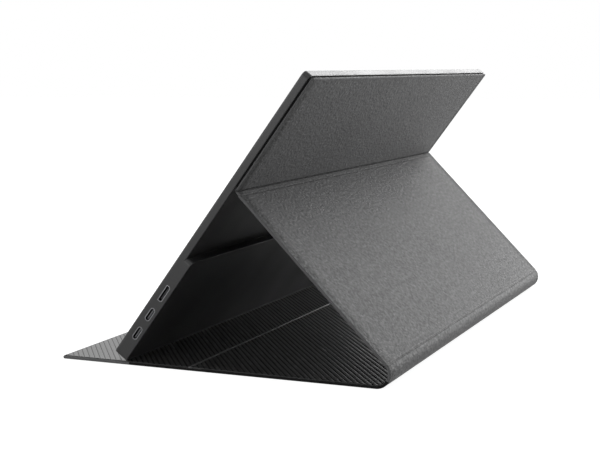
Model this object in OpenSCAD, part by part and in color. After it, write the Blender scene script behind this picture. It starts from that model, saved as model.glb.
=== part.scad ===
// Portable monitor standing in its folding cover, seen from behind.
// X runs along the width (the user's right is +X), the screen faces -Y, Z is up.
// The origin is on the table, in the middle of the area that the object covers.

/* [Monitor] */
// Width of the monitor
monitor_w = 355; // [340:1:380]
// Height of the monitor along its own face
monitor_h = 205; // [198:1:230]
// Thickness of the lower part, which holds the boards and the sockets
base_t = 9; // [8.8:0.1:11]
// Thickness of the upper part
top_t = 4.6; // [4.5:0.1:4.9]
// Height of the thick lower part
base_h = 76.5; // [72:0.5:90]
// Radius of the monitor's four corners
corner_r = 3; // [2:0.5:5]
// Radius of the bottom edge that stands on the cover
edge_r = 1; // [0.6:0.1:1.4]
// Radius of the housing's other back edges
back_r = 0.5; // [0.3:0.05:0.6]
// Thickness of the housing's side walls
wall_t = 1.2; // [1:0.1:1.5]
// Thickness of the housing's back wall
back_t = 0.9; // [0.7:0.1:1]
// Gap between the housing's walls and what lies inside them
fit_gap = 0.3; // [0.2:0.05:0.4]

/* [Screen] */
// Width of the black border at the left and right of the picture
side_border = 5.4; // [4:0.1:9]
// Width of the border above the picture
top_border = 4; // [3:0.1:8]
// Width of the border below the picture
chin_h = 7.5; // [6:0.1:16]
// Thickness of the front frame
bezel_t = 0.8; // [0.6:0.05:0.9]
// Thickness of the liquid crystal panel
lcd_t = 1; // [0.8:0.05:1.1]
// Thickness of the light guide behind it
guide_t = 0.9; // [0.7:0.05:1]
// Height of the row of lamps below the light guide
lamp_h = 3; // [2:0.5:4]
// Thickness of the sheet metal tray that holds the panel
tray_t = 0.3; // [0.2:0.05:0.4]

/* [Sockets] */
// Height of the lower USB-C socket above the monitor's bottom edge
usb_low_z = 19.5; // [18:0.5:21]
// Height of the upper USB-C socket
usb_high_z = 34; // [33:0.5:36]
// Height of the mini HDMI socket
hdmi_z = 50; // [48:0.5:52]
// Distance from the back face to the middle of each socket
port_y = 3.8; // [3.6:0.05:4]
// Outer length of a USB-C socket
usb_len = 8.94; // [8.9:0.02:9.1]
// Outer thickness of a USB-C socket
usb_t = 3.26; // [3.1:0.02:3.3]
// Depth of a USB-C socket
usb_depth = 7.4; // [6.5:0.1:8.5]
// Outer length of the mini HDMI socket
hdmi_len = 11.2; // [11:0.1:11.6]
// Outer thickness of the mini HDMI socket
hdmi_t = 2.9; // [2.8:0.05:3.3]
// Depth of the mini HDMI socket
hdmi_depth = 7.6; // [6.5:0.1:8.5]
// Thickness of the sheet metal of each socket
socket_wall = 0.3; // [0.25:0.01:0.35]

/* [Side controls] */
// Height of the headphone socket above the bottom edge
jack_z = 20; // [17:0.5:22]
// Radius of the headphone socket's bore
jack_r = 1.8; // [1.76:0.01:1.85]
// Depth of that bore
jack_len = 12; // [11:0.5:13]
// Height of the menu wheel
wheel_z = 38; // [36:0.5:40]
// Radius of the menu wheel
wheel_r = 5; // [4.5:0.1:5.4]
// Thickness of the menu wheel
wheel_t = 2.6; // [2.2:0.1:3]
// How far the menu wheel stands out of the side
wheel_out = 0.9; // [0.6:0.1:1.2]
// Radius of the pin that the menu wheel turns on
axle_r = 0.8; // [0.6:0.05:1]
// Height of the power button
power_z = 56; // [54:0.5:58]
// Length of the power button
power_len = 10; // [8:0.5:11]
// Width of the power button
power_w = 2.4; // [2:0.1:2.8]
// How far the power button stands out of the side
power_out = 0.5; // [0.5:0.05:0.8]
// How far the power button can be pushed in
power_travel = 0.4; // [0.3:0.05:0.45]

/* [Inside] */
// Thickness of the circuit boards
board_pcb_t = 0.8; // [0.7:0.05:0.85]
// Width of the main board
main_w = 88; // [80:1:96]
// Height of the main board
main_h = 54; // [50:1:56]
// Height of the main board's lower edge
main_z = 8; // [6:0.5:9]
// Width of the button board
keys_w = 10; // [8:0.5:14]
// Width of the board behind the screen's lower edge
panel_board_w = 120; // [100:1:140]
// Width of the flat cable from there to the main board, and height of that board
cable_w = 12; // [10:0.5:14]
// Thickness of the flat cable
cable_t = 0.3; // [0.2:0.05:0.35]
// Distance from the loudspeakers up to the flat cable
cable_rise = 12; // [10:0.5:14]
// Length of the plug at the end of the flat cable
plug_len = 5; // [4:0.5:6]
// Length of a loudspeaker box
speaker_w = 52; // [44:1:54]
// Height of a loudspeaker box
speaker_h = 13; // [10:0.5:15]
// Distance from the middle of the monitor to the middle of a loudspeaker
speaker_x = 46; // [44:1:49]
// Width of one slot in front of a loudspeaker
slot_w = 1.6; // [1:0.1:2.2]
// Thickness of the upright ribs inside the housing
shell_rib_t = 1.2; // [0.8:0.1:1.6]
// Width of the pads that carry the panel in the thin part
pad_w = 4; // [3:0.5:8]
// Radius of the posts that the boards are screwed to
post_r = 2.4; // [2:0.1:2.8]
// Distance from a board's edge to the middle of its screws
screw_in = 4; // [3.5:0.1:5]
// Length of the magnets in the housing, the cover and its front flap
magnet_len = 20; // [14:1:26]
// Width of those magnets
magnet_w = 8; // [6:0.5:10]
// Radius of a screw's head
screw_head_r = 1.7; // [1.5:0.1:2]
// Radius of a screw's shank
screw_r = 0.8; // [0.6:0.05:0.9]
// Height of a screw's head
screw_head_t = 0.6; // [0.5:0.05:0.8]

/* [Cover] */
// How much the cover stays inside the monitor's width at each end
cover_inset = 0.2; // [0.1:0.1:1.5]
// Distance from the monitor's bottom edge to the fold in the back of the cover
fold_at = 127; // [122:0.5:134]
// Length of the support panel, from that fold to the rounded spine
kick_len = 126.3; // [120:0.1:132]
// Outer radius of the rounded spine
spine_r = 8.5; // [7.5:0.1:9.5]
// Length of the floor panel from the spine to the crease
rear_len = 114.4; // [110:0.1:125]
// Length of the front flap, from the crease to its free edge
front_len = 85.6; // [75:0.1:95]
// Distance from the cover's upper edge to the monitor's top
top_gap = 0.4; // [0.2:0.1:2]
// Radius of the cover's free corners
cover_r = 1.7; // [1.5:0.1:5]
// Thickness of the outer skin
skin_t = 0.5; // [0.4:0.05:0.6]
// Thickness of the stiff boards between skin and lining
stiff_t = 0.9; // [0.7:0.05:1.1]
// Thickness of the lining
lining_t = 0.35; // [0.3:0.05:0.5]
// Width of the skin's folded rim round each board
rim_w = 1.2; // [1:0.1:2]
// How much thicker the lining is on the upper panel, which holds the monitor
upper_extra_t = 0.4; // [0.3:0.05:0.6]
// Height of the upper panel's rim, which leaves a dark slot along the edge of the monitor
upper_rim_h = 1.1; // [1:0.05:1.3]
// How far the lining stays back from the edge in that slot
slot_in = 0.6; // [0.4:0.05:0.9]
// Distance from the edge to the pressed line on the skin
press_in = 3; // [2.5:0.1:4]
// Width of the pressed line
press_w = 0.5; // [0.4:0.05:0.8]
// Depth of the pressed line
press_d = 0.15; // [0.1:0.01:0.2]

/* [Ribbed lining] */
// Height of the ribs
rib_h = 0.25; // [0.15:0.01:0.35]
// Distance from one rib to the next
rib_pitch = 2.94; // [2.6:0.02:4]
// Width of a rib at its foot
rib_w = 1.5; // [1.2:0.05:1.8]
// Width of a rib at its top
rib_top = 1; // [0.6:0.05:1.1]
// Angle between the ribs and the width of the cover
rib_angle = 36.6; // [30:0.1:45]

/* [Stand] */
// Angle at which the monitor leans back
lean = 36.7; // [33:0.1:42]
// Clearance between the monitor's bottom edge and the ribs that it stands on
foot_gap = 0.05; // [0.05:0.01:0.3]
// How far the support panel can be raised from the position shown, in degrees
raise_angle = 15; // [10:1:18]
// Radius of the soft bead in the fold behind the monitor
fold_r = 1.1; // [0.8:0.05:1.3]
// Radius of the soft bead in the floor panel's crease
crease_r = 1.5; // [1.2:0.05:1.7]
// Gap that lets a panel turn past a bead or a shell of the spine
turn_gap = 0.35; // [0.3:0.01:0.5]
// Length of unstiffened skin between the fold and the board of the support panel
soft_len = 3.6; // [3:0.1:5]

/* [Hidden] */
$fn = 48;

cover_w = monitor_w - 2 * cover_inset;
step_t = base_t - top_t;
rim_h = skin_t + stiff_t + lining_t;
upper_t = rim_h + upper_extra_t;
floor_t = rim_h + rib_h;

// The stand is solved from the lean: first the monitor's lower back edge at y = 0, then the fold,
// then the spine, which is where a support panel of the given length reaches the table.
up = [0, sin(lean), cos(lean)];
back = [0, cos(lean), -sin(lean)];
edge_z = floor_t + foot_gap + edge_r - edge_r * (sin(lean) + cos(lean));
fold_0 = [0, 0, edge_z] + up * fold_at - back * (step_t - upper_t);
fold_to_spine = sqrt(kick_len * kick_len + spine_r * spine_r);
reach = acos((fold_0.z - spine_r) / fold_to_spine);
support_lean = reach + asin(spine_r / fold_to_spine);
spine_0 = fold_0.y + fold_to_spine * sin(reach);
mid_y = (spine_0 + spine_r + spine_0 - rear_len - front_len) / 2;

foot_p = [0, -mid_y, edge_z];
fold_p = fold_0 - [0, mid_y, 0];
spine_p = [0, spine_0 - mid_y, spine_r];
support_p = spine_p + spine_r * [0, cos(support_lean), sin(support_lean)];
crease_y = spine_p.y - rear_len;

// Depths inside the monitor, counted from the back face of its thick part towards the screen
bezel_y = base_t - bezel_t;
lcd_y = bezel_y - 0.05;
guide_y = lcd_y - lcd_t;
tray_y = guide_y - guide_t - tray_t;
main_y = port_y - usb_t / 2;
keys_y = 3.8;
jack_y = (back_t + tray_y) / 2;
jack_body = tray_y - back_t - 0.1;
inner_w = monitor_w - 2 * wall_t;
inner_top = monitor_h - wall_t;
magnet_gap = 0.1;
magnet_z = (fold_at + monitor_h) / 2;
magnet_rows = [-0.4, -0.2, 0, 0.2, 0.4] * monitor_w;

function turned(a, r) = [r * cos(a), r * sin(a)];

// Frames of the four panels: each puts the panel's outer face at z = 0 and its inside above that
module at_monitor() {
    translate(foot_p) rotate([-lean, 0, 0]) children();
}

module at_upper() {
    translate(fold_p) rotate([90 - lean, 0, 0]) children();
}

module at_support() {
    translate(support_p) rotate([90 + support_lean, 0, 0]) children();
}

module at_crease() {
    translate([0, crease_y, 0]) children();
}

// A profile in the side view, drawn out along the width
module along_x(w) {
    rotate([90, 0, 90]) linear_extrude(w, center = true) children();
}

// A plate parallel to the screen, from depth a to depth b below the back face
module plate(a, b) {
    translate([0, -a, 0]) rotate([90, 0, 0]) linear_extrude(b - a) children();
}

// What a rounded corner takes away from a sharp one at the origin, with the body below and left
module corner_cut(r) {
    difference() {
        translate([-r, -r]) square(r + 1);
        translate([-r, -r]) circle(r);
    }
}

module rounded_plan(w, low, high, r) {
    difference() {
        translate([-w / 2, low]) square([w, high - low]);
        for (s = [0, 1]) {
            mirror([s, 0]) translate([w / 2, high]) corner_cut(r);
            mirror([s, 0]) translate([w / 2, low]) mirror([0, 1]) corner_cut(r);
        }
    }
}

// The slot with round ends that a USB-C plug enters, with its long side upright
module stadium(t, len) {
    square([t, len - t], center = true);
    for (s = [-1, 1]) translate([0, s * (len - t) / 2]) circle(t / 2);
}

// The mini HDMI opening: a flat slot whose two corners on one side are cut off
module hdmi_shape(t, len) {
    cut = t / 3;
    polygon([[-t / 2, -len / 2], [t / 2 - cut, -len / 2], [t / 2, -len / 2 + cut],
        [t / 2, len / 2 - cut], [t / 2 - cut, len / 2], [-t / 2, len / 2]]);
}

// One part of the housing: from depth d to the front frame and up to the given height. Its corners and
// the edges of its back face are rounded, the lower one with its own radius
module slab(d, high, low_r) {
    intersection() {
        plate(d, bezel_y) rounded_plan(monitor_w, 0, high, corner_r);
        along_x(monitor_w) difference() {
            translate([-bezel_y, 0]) square([bezel_y - d, high]);
            translate([-d, 0]) mirror([0, 1]) corner_cut(low_r);
            translate([-d, high]) corner_cut(back_r);
        }
        linear_extrude(high) difference() {
            translate([-monitor_w / 2, -bezel_y]) square([monitor_w, bezel_y - d]);
            for (s = [0, 1]) mirror([s, 0]) translate([monitor_w / 2, -d]) corner_cut(back_r);
        }
    }
}

// A box inside the monitor: x from x0 to x1, depth from y0 to y1, height from z0 to z1
module block(x0, x1, y0, y1, z0, z1) {
    translate([x0, -y1, z0]) cube([x1 - x0, y1 - y0, z1 - z0]);
}

// A hole or a solid through the right (side = 1) or left (side = -1) wall
module through_side(side, z, y, from_x, len) {
    translate([side * (monitor_w / 2 - from_x - len / 2), -y, z])
        rotate([90, 0, 90]) linear_extrude(len, center = true) children();
}

speaker_slots = 9;
module speaker_grille(side) {
    for (i = [0 : speaker_slots - 1])
        translate([side * speaker_x + (i - (speaker_slots - 1) / 2) * 2.5 * slot_w, 0, 0])
            block(-slot_w / 2, slot_w / 2, jack_y - 1.3, jack_y + 1.3, -1, wall_t + 1);
}

main_x1 = inner_w / 2 - fit_gap;
main_x0 = main_x1 - main_w;
main_screws = [for (x = [main_x0 + screw_in, main_x1 - 3 * screw_in],
    z = [main_z + screw_in, main_z + main_h - screw_in]) [x, z]];
keys_x1 = -(monitor_w / 2 - jack_len - 3);
keys_x0 = keys_x1 + 0.2;
keys_z0 = jack_z - 8;
keys_z1 = power_z + 8;
keys_screws = [for (z = [keys_z0 + 3, keys_z1 - 3]) [keys_x0 + keys_w / 2, z]];
shell_rib_xs = [-0.36 * monitor_w, -0.24 * monitor_w, (panel_board_w / 2 + main_x0) / 2];
pad_xs = [-0.47, -0.3, -0.1, 0.1, 0.3, 0.47] * monitor_w;

module screw_post(p, face_y) {
    translate([p.x, -back_t + 0.1, p.y]) rotate([90, 0, 0]) cylinder(r = post_r, h = face_y - back_t + 0.1);
}

module rear_shell() color([0.27, 0.27, 0.28]) at_monitor() difference() {
    union() {
        difference() {
            union() {
                slab(0, base_h, edge_r);
                slab(step_t, monitor_h, back_r);
            }
            plate(back_t, base_t) rounded_plan(inner_w, wall_t, base_h - wall_t, 1);
            plate(step_t + back_t, base_t) rounded_plan(inner_w, wall_t, inner_top, 1);
        }
        // upright ribs in the thick part and low pads in the thin part carry the panel's tray
        for (x = shell_rib_xs) block(x - shell_rib_t / 2, x + shell_rib_t / 2, back_t - 0.1, tray_y,
            speaker_h + pad_w, base_h - 0.2);
        for (x = pad_xs) block(x - pad_w / 2, x + pad_w / 2, step_t + back_t - 0.1, tray_y,
            base_h + pad_w, inner_top - pad_w);
        for (p = main_screws) screw_post(p, main_y - board_pcb_t);
        for (p = keys_screws) screw_post(p, keys_y - board_pcb_t);
        translate([-monitor_w / 2 + wheel_r - wheel_out, -back_t + 0.1, wheel_z]) rotate([90, 0, 0])
            cylinder(r = axle_r + 1, h = jack_y - wheel_t / 2 - turn_gap - back_t + 0.1);
    }
    for (z = [usb_low_z, usb_high_z])
        through_side(1, z, port_y, -1, wall_t + 2) stadium(usb_t + 0.2, usb_len + 0.2);
    through_side(1, hdmi_z, port_y, -1, wall_t + 2) hdmi_shape(hdmi_t + 0.2, hdmi_len + 0.2);
    through_side(-1, jack_z, jack_y, -1, wall_t + 2) circle(jack_body / 2 - 0.2);
    through_side(-1, wheel_z, jack_y, -1, wall_t + 2) square([wheel_t + 0.6, 1.7 * wheel_r], center = true);
    through_side(-1, power_z, jack_y, -1, wall_t + 2) stadium(power_w + 0.2, power_len + 0.2);
    for (side = [-1, 1]) speaker_grille(side);
    // the ribs have a notch where the flat cable runs across them
    block(panel_board_w / 2, main_x0, tray_y - cable_t - fit_gap, base_t, panel_board_z - fit_gap,
        panel_board_z + cable_w + fit_gap);
    for (p = main_screws) screw_hole(p, main_y);
    for (p = keys_screws) screw_hole(p, keys_y);
    translate([-monitor_w / 2 + wheel_r - wheel_out, -back_t / 2, wheel_z]) rotate([90, 0, 0])
        cylinder(r = axle_r, h = base_t);
}

module screw_hole(p, face_y) {
    translate([p.x, -back_t / 2, p.y]) rotate([90, 0, 0]) cylinder(r = screw_r, h = face_y);
}

module front_bezel() color([0.08, 0.08, 0.085]) at_monitor() difference() {
    intersection() {
        plate(bezel_y, base_t) rounded_plan(monitor_w, 0, monitor_h, corner_r);
        along_x(monitor_w) difference() {
            translate([-base_t, 0]) square([bezel_t, monitor_h]);
            translate([-base_t, monitor_h]) mirror([1, 0]) corner_cut(bezel_t * 0.7);
            translate([-base_t, 0]) mirror([1, 0]) mirror([0, 1]) corner_cut(bezel_t * 0.7);
        }
    }
    plate(bezel_y - 1, base_t + 1) translate([0, chin_h])
        rounded_plan(monitor_w - 2 * side_border, 0, monitor_h - top_border - chin_h, 0.8);
}

tray_w = inner_w - 2 * fit_gap;
tray_low = wall_t + fit_gap;
tray_high = inner_top - fit_gap;
panel_w = tray_w - 2 * tray_t - 0.2;
panel_low = tray_low + tray_t + 0.1;
panel_high = tray_high - tray_t - 0.1;

module lcd_panel() color([0.03, 0.03, 0.04]) at_monitor()
    block(-panel_w / 2, panel_w / 2, guide_y, lcd_y, panel_low, panel_high);

module light_guide() color([0.9, 0.93, 0.95]) at_monitor()
    block(-panel_w / 2, panel_w / 2, guide_y - guide_t, guide_y, panel_low + lamp_h, panel_high);

module lamp_strip() color([0.9, 0.8, 0.35]) at_monitor() {
    lamps = 24;
    pitch = panel_w / lamps;
    block(-panel_w / 2, panel_w / 2, guide_y - guide_t, guide_y, panel_low, panel_low + lamp_h / 2);
    for (i = [0 : lamps - 1])
        translate([(i - (lamps - 1) / 2) * pitch, 0, 0])
            block(-pitch / 4, pitch / 4, guide_y - guide_t, guide_y, panel_low, panel_low + lamp_h);
}

module panel_tray() color([0.72, 0.73, 0.75]) at_monitor() difference() {
    block(-tray_w / 2, tray_w / 2, tray_y, lcd_y, tray_low, tray_high);
    block(-tray_w / 2 + tray_t, tray_w / 2 - tray_t, tray_y + tray_t, base_t,
        tray_low + tray_t, tray_high - tray_t);
}

panel_board_z = speaker_h + cable_rise;
cable_x = main_x0 + cable_w;
cable_top = main_z + main_h - cable_w;
chip_t = 1;

module panel_board() color([0.05, 0.3, 0.18]) at_monitor() {
    block(-panel_board_w / 2, panel_board_w / 2, tray_y - board_pcb_t, tray_y, panel_board_z,
        panel_board_z + cable_w);
    // the drivers of the screen, a row of square chips
    for (x = [-1 / 3, 0, 1 / 4] * panel_board_w)
        block(x - cable_w / 4, x + cable_w / 4, tray_y - board_pcb_t - chip_t, tray_y - board_pcb_t,
            panel_board_z + cable_w / 4, panel_board_z + cable_w * 3 / 4);
}

module panel_cable() color([0.85, 0.6, 0.15]) at_monitor()
    plate(tray_y - cable_t, tray_y) polygon([[panel_board_w / 2, panel_board_z],
        [cable_x + cable_w, panel_board_z], [cable_x + cable_w, cable_top], [cable_x, cable_top],
        [cable_x, panel_board_z + cable_w], [panel_board_w / 2, panel_board_z + cable_w]]);

// The picture processor and two smaller chips: the middle of each in shares of the board, and its side
chips = [[0.43, 0.48, 16], [0.66, 0.3, 8], [0.65, 0.68, 7]];

module main_board() color([0.05, 0.3, 0.18]) at_monitor() difference() {
    union() {
        block(main_x0, main_x1, main_y - board_pcb_t, main_y, main_z, main_z + main_h);
        block(cable_x, cable_x + cable_w, main_y, tray_y - cable_t, cable_top - plug_len, cable_top);
        for (c = chips) translate([main_x0 + c.x * main_w, 0, main_z + c.y * main_h])
            block(-c.z / 2, c.z / 2, main_y, main_y + chip_t, -c.z / 2, c.z / 2);
    }
    for (p = main_screws) translate([p.x, 0, p.y]) rotate([90, 0, 0]) cylinder(r = screw_r + 0.1, h = base_t);
}

module screw(p, face_y) {
    translate([p.x, -face_y, p.y]) rotate([90, 0, 0]) cylinder(r = screw_head_r, h = screw_head_t);
    translate([p.x, -back_t / 2 - 0.1, p.y]) rotate([90, 0, 0])
        cylinder(r = screw_r - 0.05, h = face_y - back_t / 2);
}

module board_screws() color([0.6, 0.6, 0.62]) at_monitor() {
    for (p = main_screws) screw(p, main_y);
    for (p = keys_screws) screw(p, keys_y);
}

module usb_c_socket(z) {
    depth = usb_depth;
    through_side(1, z, port_y, 0.1, depth) difference() {
        stadium(usb_t, usb_len);
        stadium(usb_t - 2 * socket_wall, usb_len - 2 * socket_wall);
    }
    through_side(1, z, port_y, depth - 1.1, 1.2) stadium(usb_t - socket_wall, usb_len - socket_wall);
    through_side(1, z, port_y, 1.1, depth - 1.1) square([0.7, usb_len - 2.3], center = true);
}

module usb_c_socket_lower() color([0.78, 0.78, 0.8]) at_monitor() usb_c_socket(usb_low_z);

module usb_c_socket_upper() color([0.78, 0.78, 0.8]) at_monitor() usb_c_socket(usb_high_z);

module mini_hdmi_socket() color([0.78, 0.78, 0.8]) at_monitor() {
    through_side(1, hdmi_z, port_y, 0.1, hdmi_depth) difference() {
        hdmi_shape(hdmi_t, hdmi_len);
        hdmi_shape(hdmi_t - 2 * socket_wall, hdmi_len - 2 * socket_wall);
    }
    through_side(1, hdmi_z, port_y, hdmi_depth - 1.1, 1.2)
        hdmi_shape(hdmi_t - socket_wall, hdmi_len - socket_wall);
    through_side(1, hdmi_z, port_y, 1.3, hdmi_depth - 1.3) square([0.7, hdmi_len - 3], center = true);
}

module headphone_jack() color([0.06, 0.06, 0.06]) at_monitor() difference() {
    union() {
        through_side(-1, jack_z, jack_y, wall_t + 0.1, jack_len + 1.6 - wall_t)
            square([jack_body, 6], center = true);
        through_side(-1, jack_z, jack_y, 0.1, wall_t + 0.1) circle(jack_body / 2 - 0.3);
    }
    through_side(-1, jack_z, jack_y, -1, jack_len + 1.1) circle(jack_r);
}

stem_x = wall_t + 0.8 + power_travel;

module button_board() color([0.05, 0.3, 0.18]) at_monitor() difference() {
    union() {
        block(keys_x0, keys_x0 + keys_w, keys_y - board_pcb_t, keys_y, keys_z0, keys_z1);
        // the switch that the power button pushes, and the sensor beside the menu wheel
        block(-monitor_w / 2 + stem_x + power_travel + 0.9, keys_x0 + 2, keys_y - board_pcb_t - 1.8, keys_y,
            power_z - 2.5, power_z + 2.5);
        block(-monitor_w / 2 + 2 * wheel_r - wheel_out + 0.3, keys_x0 + 2, keys_y - board_pcb_t - 1, keys_y,
            wheel_z - 3, wheel_z + 3);
    }
    for (p = keys_screws) translate([p.x, 0, p.y]) rotate([90, 0, 0]) cylinder(r = screw_r + 0.1, h = base_t);
}

module power_button() color([0.3, 0.3, 0.31]) at_monitor() {
    through_side(-1, power_z, jack_y, -power_out, power_out + wall_t + 0.06) stadium(power_w, power_len);
    through_side(-1, power_z, jack_y, wall_t + 0.05, 0.7) stadium(power_w + 1.2, power_len + 2);
    through_side(-1, power_z, jack_y, wall_t + 0.7, stem_x - wall_t) square([1.4, 3], center = true);
}

module menu_wheel() color([0.2, 0.2, 0.21]) at_monitor()
    translate([-monitor_w / 2 + wheel_r - wheel_out, -jack_y, wheel_z]) rotate([90, 0, 0])
        linear_extrude(wheel_t, center = true) difference() {
            circle(wheel_r);
            circle(axle_r + 0.05);
            for (a = [0 : 15 : 345]) translate(turned(a, wheel_r + 0.15)) circle(0.35, $fn = 16);
        }

module wheel_axle() color([0.7, 0.7, 0.72]) at_monitor()
    translate([-monitor_w / 2 + wheel_r - wheel_out, -back_t / 2, wheel_z]) rotate([90, 0, 0])
        cylinder(r = axle_r, h = tray_y - back_t / 2 - 0.1);

// A flat loudspeaker box with a round membrane sunk into its lower wall
module speaker(side) {
    difference() {
        block(side * speaker_x - speaker_w / 2, side * speaker_x + speaker_w / 2, back_t + 0.05,
            tray_y - 0.1, wall_t + 0.1, wall_t + speaker_h);
        block(side * speaker_x - speaker_w / 2 + 3, side * speaker_x + speaker_w / 2 - 3,
            jack_y - 1.5, jack_y + 1.5, 0, wall_t + 1.6);
    }
}

module speaker_left() color([0.1, 0.1, 0.1]) at_monitor() speaker(-1);

module speaker_right() color([0.1, 0.1, 0.1]) at_monitor() speaker(1);

module shell_magnets() color([0.65, 0.65, 0.68]) at_monitor()
    for (x = magnet_rows) block(x - magnet_len / 2, x + magnet_len / 2, step_t + back_t,
        tray_y - magnet_gap, magnet_z - magnet_w / 2, magnet_z + magnet_w / 2);

// The flat outline of a cover panel: from y0 to y1, drawn in at the sides, round at its far corners
module sheet(y0, y1, side = 0, r = 0) {
    w = cover_w - 2 * side;
    difference() {
        translate([-w / 2, y0]) square([w, y1 - y0]);
        if (r > 0) for (s = [0, 1]) mirror([s, 0]) translate([w / 2, y1]) corner_cut(r);
    }
}

// The outer skin of a panel, folded up round its board at both sides and, if closed, at the far end
module skin(y0, y1, closed, h = rim_h) {
    r = closed ? cover_r : 0;
    end = closed ? rim_w : -1;
    difference() {
        linear_extrude(h) sheet(y0, y1, 0, r);
        translate([0, 0, skin_t]) linear_extrude(h) sheet(y0 - 1, y1 - end, rim_w, closed ? 1 : 0);
    }
}

// The thin line pressed into the outside of a skin, a little inside its edge
module pressed_line(y0, y1, closed) {
    end = closed ? press_in : -1;
    translate([0, 0, -1]) linear_extrude(1 + press_d) difference() {
        sheet(y0, y1 - end, press_in, closed ? 1 : 0);
        sheet(y0 - 1, y1 - end - (closed ? press_w : -1), press_in + press_w, closed ? 0.6 : 0);
    }
}

module pressed_row(y) {
    translate([0, y, press_d - 1]) linear_extrude(1)
        square([cover_w - 2 * press_in, press_w], center = true);
}

inside = rim_w + 0.1;

module stiff_board(y0, y1, closed) {
    translate([0, 0, skin_t]) linear_extrude(stiff_t)
        sheet(y0, closed ? y1 - inside : y1, inside, closed ? 0.8 : 0);
}

// The ribbed lining: one comb profile drawn out along the ribs and cut to the panel's outline.
// sheet_y is where the panel's y = 0 lies on the unrolled sheet, so the ribs run on from panel to panel.
module ribbed_lining(y0, y1, sheet_y, closed, slant = rib_angle) {
    half = cover_w / 2;
    low = (sheet_y + y0) * cos(rib_angle) - half * sin(rib_angle);
    high = (sheet_y + y1) * cos(rib_angle) + half * sin(rib_angle);
    first = floor(low / rib_pitch) - 1;
    last = ceil(high / rib_pitch) + 1;
    length = 2 * half * cos(rib_angle) + (y1 - y0) * sin(rib_angle) + 4;
    middle = (2 * sheet_y + y0 + y1) / 2 * sin(slant);
    comb = [[last * rib_pitch + rib_pitch / 2, 0], [first * rib_pitch - rib_pitch / 2, 0],
        for (i = [first : last], p = [[-rib_w, 0], [-rib_top, rib_h], [rib_top, rib_h], [rib_w, 0]])
            [i * rib_pitch + p.x / 2, lining_t + p.y]];
    translate([0, 0, skin_t + stiff_t]) intersection() {
        linear_extrude(lining_t + rib_h) sheet(y0, closed ? y1 - inside : y1, inside, closed ? 0.8 : 0);
        translate([0, -sheet_y, 0]) rotate([0, 0, slant]) translate([middle, 0, 0])
            along_x(length) polygon(comb);
    }
}

upper_len = monitor_h - top_gap - fold_at;
upper_start = fold_r + 0.4;

module upper_skin() color([0.36, 0.36, 0.37]) at_upper() difference() {
    skin(upper_start, upper_len, true, upper_rim_h);
    pressed_line(upper_start, upper_len, true);
}

module upper_board() color([0.75, 0.7, 0.6]) at_upper() difference() {
    stiff_board(upper_start, upper_len, true);
    for (x = magnet_rows) translate([x, magnet_z - fold_at, skin_t])
        cube([magnet_len + 2 * magnet_gap, magnet_w + 2 * magnet_gap, 4 * stiff_t], center = true);
}

// The lining lies on the board and reaches over its edges down to the skin's rim
module upper_lining() color([0.14, 0.14, 0.15]) at_upper() difference() {
    translate([0, 0, upper_rim_h]) linear_extrude(upper_t - upper_rim_h)
        sheet(upper_start, upper_len - slot_in, slot_in, 0.8);
    linear_extrude(skin_t + stiff_t) sheet(upper_start - 1, upper_len - inside, inside, 0.8);
}

module cover_magnets() color([0.65, 0.65, 0.68]) at_upper()
    for (x = magnet_rows) translate([x - magnet_len / 2, magnet_z - fold_at - magnet_w / 2, skin_t])
        cube([magnet_len, magnet_w, stiff_t]);

// The soft bead that the support panel turns round, joined to the upper panel's edge
module fold_strip() color([0.25, 0.25, 0.26]) at_upper() along_x(cover_w) {
    difference() {
        circle(fold_r);
        translate([-2 * fold_r, -2 * fold_r]) square([4 * fold_r, 2 * fold_r]);
    }
    square([upper_start, rim_h]);
}

support_end = kick_len - fold_r - turn_gap;

module support_skin() color([0.4, 0.4, 0.41]) at_support() difference() {
    skin(0, support_end, false);
    pressed_line(-1, support_end + 1, false);
    pressed_row(kick_len - soft_len);
    pressed_row(1.4);
}

module support_board() color([0.75, 0.7, 0.6]) at_support() stiff_board(0, kick_len - soft_len, false);

spine_turn = 90 + support_lean;
spine_arc = spine_r * PI * spine_turn / 180;

module support_lining() color([0.14, 0.14, 0.15]) at_support()
    ribbed_lining(0, kick_len - soft_len, rear_len + spine_arc, false);

// A curved shell of the spine, in the side view, between two angles counted up from straight back
module spine_sector(outer, inner, low, high) {
    steps = 6;
    intersection() {
        difference() {
            circle(outer, $fn = 72);
            circle(inner, $fn = 72);
        }
        polygon([[0, 0], for (i = [0 : steps]) turned(low + (high - low) * i / steps, 2 * outer)]);
    }
}

// The lower skin of the spine stays with the floor panel, and the support panel's lining slides inside it
module spine_skin() color([0.38, 0.38, 0.39]) translate(spine_p)
    along_x(cover_w) spine_sector(spine_r, spine_r - skin_t, -90, support_lean - raise_angle - 3);

module spine_lining() color([0.14, 0.14, 0.15]) translate(spine_p)
    along_x(cover_w - 2 * inside)
        spine_sector(spine_r - skin_t - turn_gap, spine_r - rim_h, -70, support_lean);

rear_start = crease_r + turn_gap;
rear_end = rear_len - 2;

module floor_skin() color([0.36, 0.36, 0.37]) at_crease() skin(crease_r, rear_len, false);

module floor_board() color([0.75, 0.7, 0.6]) at_crease() stiff_board(rear_start, rear_end, false);

module floor_lining() color([0.14, 0.14, 0.15]) at_crease() ribbed_lining(rear_start, rear_end, 0, false);

// The soft bead of the crease, joined to the floor panel's edge
module crease_strip() color([0.2, 0.2, 0.21]) at_crease() along_x(cover_w - 2 * inside) difference() {
    circle(crease_r);
    translate([-2 * crease_r, -2 * crease_r]) square([4 * crease_r, 2 * crease_r]);
}

module at_flap() {
    at_crease() mirror([0, 1, 0]) children();
}

flap_start = crease_r + turn_gap;

module flap_skin() color([0.36, 0.36, 0.37]) at_flap() skin(flap_start, front_len, true);

flap_magnet_y = front_len - 12;

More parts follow.
